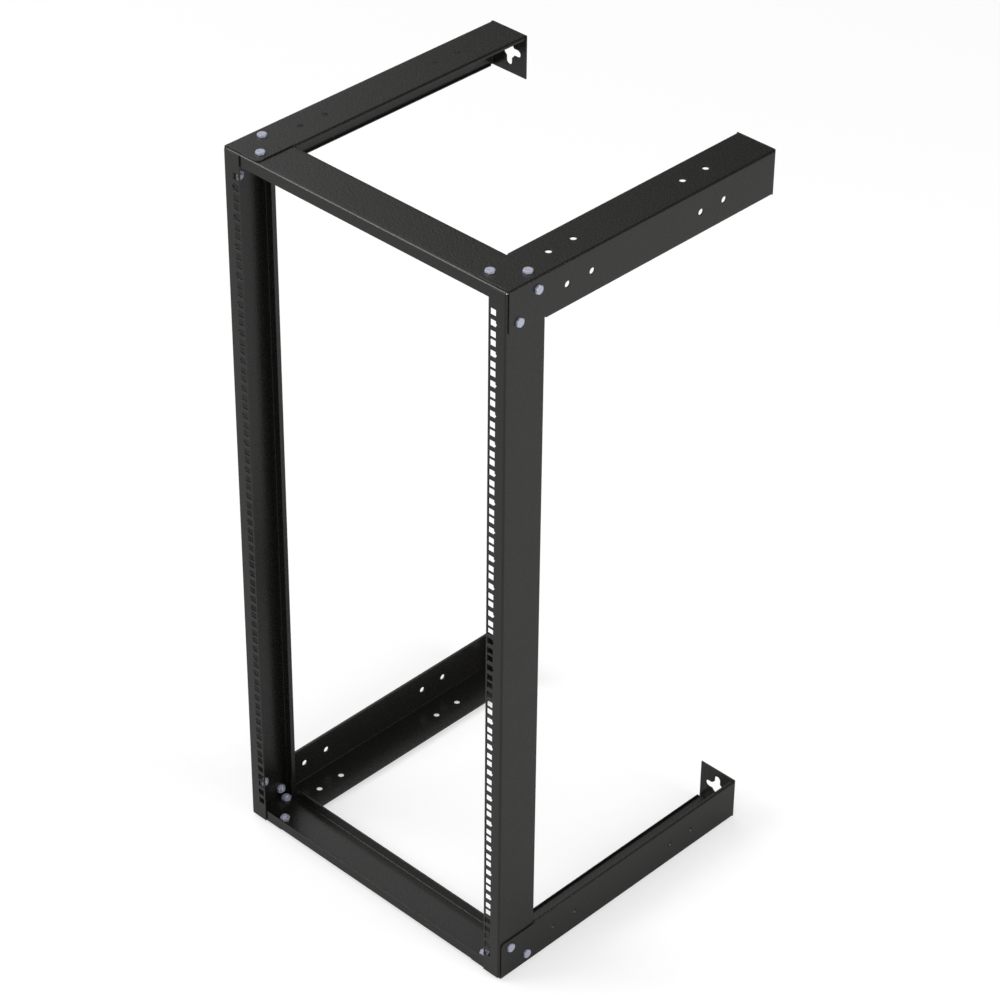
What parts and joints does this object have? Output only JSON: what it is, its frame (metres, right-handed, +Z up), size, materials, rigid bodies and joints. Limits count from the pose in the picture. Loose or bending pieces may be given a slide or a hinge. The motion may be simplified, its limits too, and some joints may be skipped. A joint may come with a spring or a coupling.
{
  "type": "wall mount open frame rack",
  "caption": "Open frame for 19 inch equipment that hangs on a wall: two folded posts with square holes, two folded crossbars and four folded arms with keyhole tabs, bolted at the corners.",
  "frame": {"origin": "middle of the footprint, level with the underside of the lowest bolt heads", "axes": "+X to the right seen from the front, +Y from the equipment's front to the wall, +Z up"},
  "size_m": [0.52, 0.5, 1.135],
  "materials": {
    "black_powder_coat": "matt fine texture powder coat",
    "zinc_plated_steel": "bright zinc plating"
  },
  "bodies": {
    "root": {"post_right": "black_powder_coat", "post_left": "black_powder_coat", "crossbar_bottom": "black_powder_coat", "crossbar_top": "black_powder_coat", "arm_lower_right": "black_powder_coat", "arm_lower_left": "black_powder_coat", "arm_upper_left": "black_powder_coat", "arm_upper_right": "black_powder_coat", "lower_left_crossbar_bolts": "zinc_plated_steel", "lower_left_crossbar_nuts": "zinc_plated_steel", "lower_left_post_bolts": "zinc_plated_steel", "lower_left_post_nuts": "zinc_plated_steel", "lower_right_crossbar_bolts": "zinc_plated_steel", "lower_right_crossbar_nuts": "zinc_plated_steel", "lower_right_post_bolts": "zinc_plated_steel", "lower_right_post_nuts": "zinc_plated_steel", "upper_left_crossbar_bolts": "zinc_plated_steel", "upper_left_crossbar_nuts": "zinc_plated_steel", "upper_left_post_bolts": "zinc_plated_steel", "upper_left_post_nuts": "zinc_plated_steel", "upper_right_crossbar_bolts": "zinc_plated_steel", "upper_right_crossbar_nuts": "zinc_plated_steel", "upper_right_post_bolts": "zinc_plated_steel", "upper_right_post_nuts": "zinc_plated_steel"}
  },
  "joints": []
}
